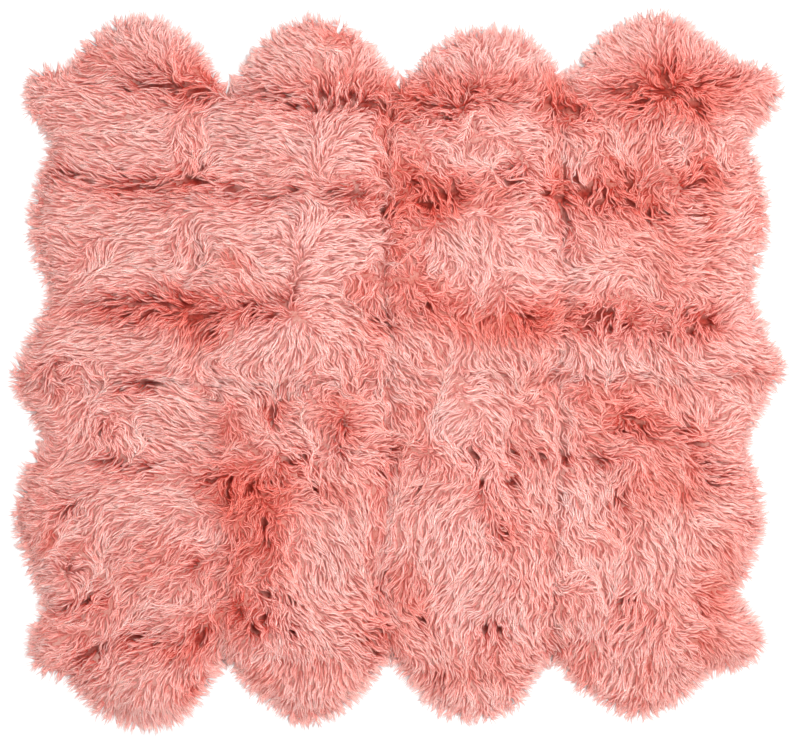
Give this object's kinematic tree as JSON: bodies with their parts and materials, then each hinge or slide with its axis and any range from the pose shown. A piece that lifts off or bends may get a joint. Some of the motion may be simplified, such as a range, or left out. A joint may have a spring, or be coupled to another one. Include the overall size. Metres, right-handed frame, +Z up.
{
  "type": "long-wool sheepskin shag rug",
  "caption": "Dyed long-wool sheepskin rug of pelts sewn edge to edge in two rows, with a scalloped outline of neck, leg and tail lobes, lying flat.",
  "frame": {"origin": "On the floor, under the middle of the rug's box.", "axes": "+X runs the rug's long way, across its four columns of pelts. +Y runs from the near row of pelts to the far row. +Z is up, out of the wool."},
  "size_m": [1.9809, 1.8422, 0.064],
  "materials": {
    "dyed_wool": "matte",
    "suede_hide": "matte"
  },
  "bodies": {
    "root": {"pelt_far_1": "dyed_wool", "pelt_far_2": "dyed_wool", "pelt_far_3": "dyed_wool", "pelt_far_4": "dyed_wool", "pelt_near_1": "dyed_wool", "pelt_near_2": "dyed_wool", "pelt_near_3": "dyed_wool", "pelt_near_4": "dyed_wool"}
  },
  "joints": []
}
